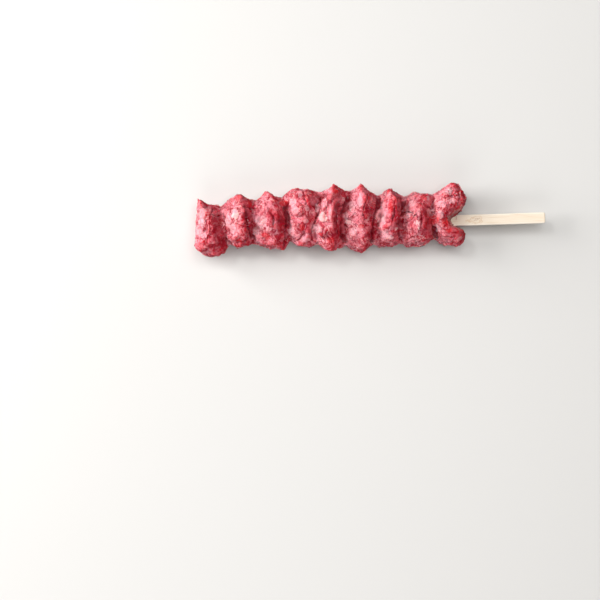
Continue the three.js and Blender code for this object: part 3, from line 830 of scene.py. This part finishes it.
# Each pattern's size in mm, its own turn, how rough it is and how much it swirls.
broad, patches, flecks, sinew, sinew_parts, pores, smears = (
    add(tree, "ShaderNodeTexNoise", {"noise_dimensions": "4D"}, {
        "Vector": place, "W": turn, "Scale": 1 / (size * MM), "Detail": detail, "Distortion": swirl,
    }).outputs[0]
    for size, turn, detail, swirl in (
        (11, 0.1, 3.0, 0.0), (5, 0.7, 3.0, 0.5), (2.3, 1.3, 2.0, 0.0), (6, 1.9, 2.0, 0.0),
        (14, 2.5, 1.0, 0.0), (1.4, 3.1, 2.0, 0.8), (8, 3.7, 2.0, 0.0),
    )
)
strands = drawn_strands(tree, place, 1.3 * MM, 3.0)
from_line = add(tree, "ShaderNodeMath", {"operation": "SUBTRACT"}, {0: sinew, 1: 0.5})
off_line = add(tree, "ShaderNodeMath", {"operation": "ABSOLUTE"}, {0: from_line.outputs[0]}).outputs[0]
line_share = add(tree, "ShaderNodeMapRange", {}, {
    "Value": sinew_parts, "From Min": 0.5, "From Max": 0.58, "To Max": 0.6,
}).outputs[0]
# The patches have ragged edges.
ragged = add(tree, "ShaderNodeTexNoise", {}, {"Vector": place, "Scale": 1 / (3 * MM), "Detail": 2.0})
fat_smear, lean_patch, film, smeared, juice = (
    add(tree, "ShaderNodeMath", {"operation": "ADD"}, {
        0: add(tree, "ShaderNodeAttribute", {"attribute_name": name}, {}).outputs["Fac"],
        1: ragged.outputs[0],
    }).outputs[0]
    for name in PATCHES
)
# The finest grain shows as pores on the crowns and the torn sides, in some places more. Where the fingers
# have smeared it, it is rubbed off and the speckle fades. Away from the tip the strands run together.
bared, torn, unsmeared, rubbed_off, speckled, parted = (
    add(tree, "ShaderNodeMapRange", {}, {
        "Value": value, "From Min": low, "From Max": high, "To Min": at_low, "To Max": at_high,
    }).outputs[0]
    for value, low, high, at_low, at_high in (
        (crown, -1.2, 0.3, 0.2, 1.0), (tipward, -0.15, 0.3, 0.2, 1.0), (smears, 0.42, 0.58, 0.1, 1.0),
        (smeared, 0.9, 1.25, 1.0, 0.1), (smeared, 0.9, 1.25, 0.5, 0.12), (tipward, -0.4, 0.05, 0.2, 0.65),
    )
)
open_grain = bared
for part in (torn, rubbed_off, unsmeared):
    open_grain = add(tree, "ShaderNodeMath", {"operation": "MULTIPLY"}, {0: open_grain, 1: part}).outputs[0]
half_open = add(tree, "ShaderNodeMath", {"operation": "MULTIPLY"}, {0: open_grain, 1: 0.7}).outputs[0]

# The colours lie over each other. Each takes hold between two values of its pattern, up to a share.
colour = linear("#9c0f22")
for value, low, high, most, tint in (
    (broad, 0.36, 0.64, 1.0, "#b8283a"),
    # Painted shade, partly lean: deep red patches on the flanks that face away from the tip.
    (lean_patch, 0.9, 1.2, 0.7, "#940e22"),
    (film, 0.9, 1.15, 0.5, "#b8606c"),
    # Painted sheen, partly fat: pale smears on the flanks facing the tip.
    (fat_smear, 0.9, 1.2, 0.6, "#e6aeb5"),
    (smears, 0.52, 0.42, 0.3, "#cc6a7c"),
    (wad, 0.55, 0.7, 0.6, "#e08c97"),
    (wad, 0.42, 0.28, 0.5, "#960e20"),
    (patches, 0.53, 0.57, speckled, "#e08c97"),
    (patches, 0.45, 0.41, speckled, "#860c1d"),
    (strands, 0.51, 0.63, parted, "#e28d97"),
    (strands, 0.49, 0.37, parted, "#860d1e"),
    (tone, 0.35, 0.0, 0.3, "#8c0f20"),
    (tone, 0.6, 0.95, 0.45, "#e2949c"),
    (flecks, 0.6, 0.68, speckled, "#e4a0a6"),
    # Painted highlight and shade: pore tops that the bump raises are painted paler, and its pits darker.
    (pores, 0.5, 0.62, half_open, "#ecaab2"),
    (pores, 0.47, 0.35, open_grain, "#7c081a"),
    (off_line, 0.016, 0.004, line_share, "#eec2c0"),
    # Painted sheen and shade: paler on the side facing the tip and the key light, deeper red on the far
    # side.
    (tipward, 0.0, 0.6, 0.15, "#de8f9b"),
    (tipward, 0.0, -0.5, 0.45, "#b01428"),
    # Deeper red at the middles of the patches: partly lean, partly painted shade.
    (lean_patch, 1.0, 1.3, 0.5, "#8a0a1e"),
    # Paler at the middles of the smears: partly fat, partly painted sheen.
    (fat_smear, 1.05, 1.3, 0.35, "#ecb6bc"),
    (crown, 0.4, 2.0, 0.4, "#c4282c"),
    # Painted shade: darker below the crowns, in small hollows, and in creases, folds and furrows.
    (crown, 0.0, -1.6, 0.55, "#8c0c1c"),
    (standing, -0.1, -0.5, 0.3, "#700918"),
    (crease, 0.45, 0.95, 0.3, "#74081a"),
    (fold, 0.3, 0.9, 0.6, "#74081a"),
    (furrow, 0.25, 0.8, 0.65, "#7c0a1c"),
    (juice, 0.9, 1.35, 0.55, "#cc2228"),
    (in_fat, 0.2, 0.95, 0.85, "#ecbebc"),
):
    share = add(tree, "ShaderNodeMapRange", {"interpolation_type": "SMOOTHSTEP"}, {
        "Value": value, "From Min": low, "From Max": high, "To Max": most,
    })
    colour = add(tree, "ShaderNodeMix", {"data_type": "RGBA"}, {
        0: share.outputs[0], 6: colour, 7: linear(tint),
    }).outputs[2]

opened = add(tree, "ShaderNodeMapRange", {}, {"Value": open_grain, "To Min": 0.2, "To Max": 1.0})
bump = add(tree, "ShaderNodeBump", {}, {
    "Height": pores, "Strength": opened.outputs[0], "Distance": 0.9 * MM,
})
wet = add(tree, "ShaderNodeMapRange", {}, {
    "Value": flecks, "From Min": 0.35, "From Max": 0.65, "To Min": 0.55, "To Max": 0.4,
})
surface = add(tree, "ShaderNodeBsdfPrincipled", {}, {
    "Base Color": colour, "Roughness": wet.outputs[0], "IOR": 1.45, "Specular IOR Level": 0.1,
    "Subsurface Weight": 0.85, "Subsurface Scale": 0.0055, "Subsurface Radius": (1.0, 0.12, 0.1),
    "Coat Weight": 1.0, "Coat Roughness": 0.09, "Coat IOR": 1.45, "Normal": bump.outputs[0],
    "Coat Normal": bump.outputs[0],
})
add(tree, "ShaderNodeOutputMaterial", {}, {"Surface": surface.outputs[0]})
mince.data.materials.clear()
mince.data.materials.append(raw)

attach(mince, "root")
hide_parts("meat")

# ---- The sinew ----------------------------------------------------------------------------------------
# Threads of sinew and membrane that the mincer's plate has cut short. They lie half sunk in the skin, all
# round the skewer, and are as wet as the mince.

THREADS = 70
THREAD_STEP = 1.7 * MM
THREAD_TAPER = 0.3
MINCE_RADIUS = 18 * MM
WELL_OUTSIDE = 60 * MM
OFF_THE_FLOOR = 1.5 * MM


def from_outside(along, turn):
    """The mince's skin at a place along the stick and an angle round it."""
    out = Vector((0, math.cos(turn), math.sin(turn)))
    start = Vector((along, stick_middle.y, stick_middle.z)) + out * WELL_OUTSIDE
    hit, point, facing, _ = mince.ray_cast(start, -out)
    return (point, facing) if hit else None


tip_x = min(corner[0] for corner in mince.bound_box)
butt_x = max(corner[0] for corner in mince.bound_box)
draw = random.Random(23)
threads = []
for _ in range(THREADS):
    along, turn = draw.uniform(tip_x, butt_x), draw.uniform(0, 2 * math.pi)
    heading = draw.uniform(-1.3, 1.3)  # 0 is round the stick
    thickness = draw.uniform(0.35, 0.6)
    places = []
    for _ in range(draw.randint(4, 7)):
        found = from_outside(along, turn)
        if not found or found[0].z < OFF_THE_FLOOR:
            break
        places.append(found[0] - found[1] * 0.25 * thickness * MM)
        along += THREAD_STEP * math.sin(heading)
        turn += THREAD_STEP * math.cos(heading) / MINCE_RADIUS
        heading += draw.uniform(-0.6, 0.6)
    if len(places) > 3:
        threads.append(drawn_out(places, thickness, THREAD_TAPER))
only(*threads)
bpy.ops.object.join()
sinew_threads = bpy.context.object
sinew_threads.name = "sinew_threads"
bpy.ops.object.mode_set(mode="EDIT")
bpy.ops.mesh.select_all(action="SELECT")
bpy.ops.mesh.remove_doubles(threshold=NO_LENGTH)
bpy.ops.mesh.normals_make_consistent(inside=False)
bpy.ops.object.mode_set(mode="OBJECT")
bpy.ops.object.shade_smooth()

# Sinew: paler than the mince, translucent and wet, and stained by the red juice here and there.
wet_sinew = bpy.data.materials.new("wet_sinew")
wet_sinew.use_nodes = True
tree = wet_sinew.node_tree
tree.nodes.clear()
place = add(tree, "ShaderNodeTexCoord", {}, {}).outputs["Object"]
juice = add(tree, "ShaderNodeTexNoise", {}, {"Vector": place, "Scale": 1 / (4 * MM), "Detail": 2.0})
stain = add(tree, "ShaderNodeMapRange", {}, {"Value": juice.outputs[0], "From Min": 0.35, "From Max": 0.65})
tint = add(tree, "ShaderNodeMix", {"data_type": "RGBA"}, {
    0: stain.outputs[0], 6: linear("#cc7a86"), 7: linear("#983040"),
})
surface = add(tree, "ShaderNodeBsdfPrincipled", {}, {
    "Base Color": tint.outputs[2], "Roughness": 0.4, "IOR": 1.45,
    "Subsurface Weight": 0.6, "Subsurface Scale": 0.002, "Subsurface Radius": (1.0, 0.4, 0.35),
    "Coat Weight": 0.7, "Coat Roughness": 0.12, "Coat IOR": 1.45,
})
add(tree, "ShaderNodeOutputMaterial", {}, {"Surface": surface.outputs[0]})
sinew_threads.data.materials.clear()
sinew_threads.data.materials.append(wet_sinew)

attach(sinew_threads, "root")

# ---- The floor, the light and the camera --------------------------------------------------------------
# A pale floor, and a big soft light low on the tip's side, with two weaker ones that fill its shadows. A
# small light shows how wet the mince is. The camera looks straight down.

SENSOR_WIDTH = 36
bpy.ops.object.select_all(action="DESELECT")
bpy.ops.mesh.primitive_plane_add(size=8, location=(0, 0, 0))
floor = bpy.context.object
floor.name = "floor"
paper = bpy.data.materials.new("pale_paper")
paper.use_nodes = True
paper.node_tree.nodes["Principled BSDF"].inputs["Base Color"].default_value = linear("#d0cecb")
paper.node_tree.nodes["Principled BSDF"].inputs["Roughness"].default_value = 0.9
floor.data.materials.append(paper)
floor.visible_glossy = False

world = bpy.data.worlds.new("studio")
bpy.context.scene.world = world
world.use_nodes = True
world.node_tree.nodes["Background"].inputs["Color"].default_value = linear("#ffffff")
world.node_tree.nodes["Background"].inputs["Strength"].default_value = 0.03


def soft_light(name, place, width, height, watts, glints):
    lamp = bpy.data.lights.new(name, "AREA")
    lamp.shape = "RECTANGLE"
    lamp.size = width
    lamp.size_y = height
    lamp.energy = watts
    obj = bpy.data.objects.new(name, lamp)
    obj.visible_glossy = glints
    obj.location = place
    obj.rotation_euler = (-Vector(place)).to_track_quat("-Z", "Y").to_euler()
    bpy.context.collection.objects.link(obj)


soft_light("key", (-1.35, 0.4, 0.55), 1.0, 1.0, 39, False)
soft_light("glint", (-0.6, 0.6, 1.3), 0.3, 0.3, 5, True)
soft_light("near", (-0.3, -1.2, 0.8), 1.0, 1.0, 8, False)
soft_light("fill", (0.2, 0.3, 1.7), 1.2, 1.2, 19, False)

camera = bpy.data.objects.new("camera", bpy.data.cameras.new("camera"))
bpy.context.collection.objects.link(camera)
camera.data.sensor_width = SENSOR_WIDTH
camera.data.lens = SENSOR_WIDTH * CAMERA_HEIGHT / (FRAME * SCALE)
camera.location = camera_place
camera.rotation_euler = (0, 0, -LEAN)
bpy.context.scene.camera = camera
bpy.context.scene.view_settings.view_transform = "Standard"
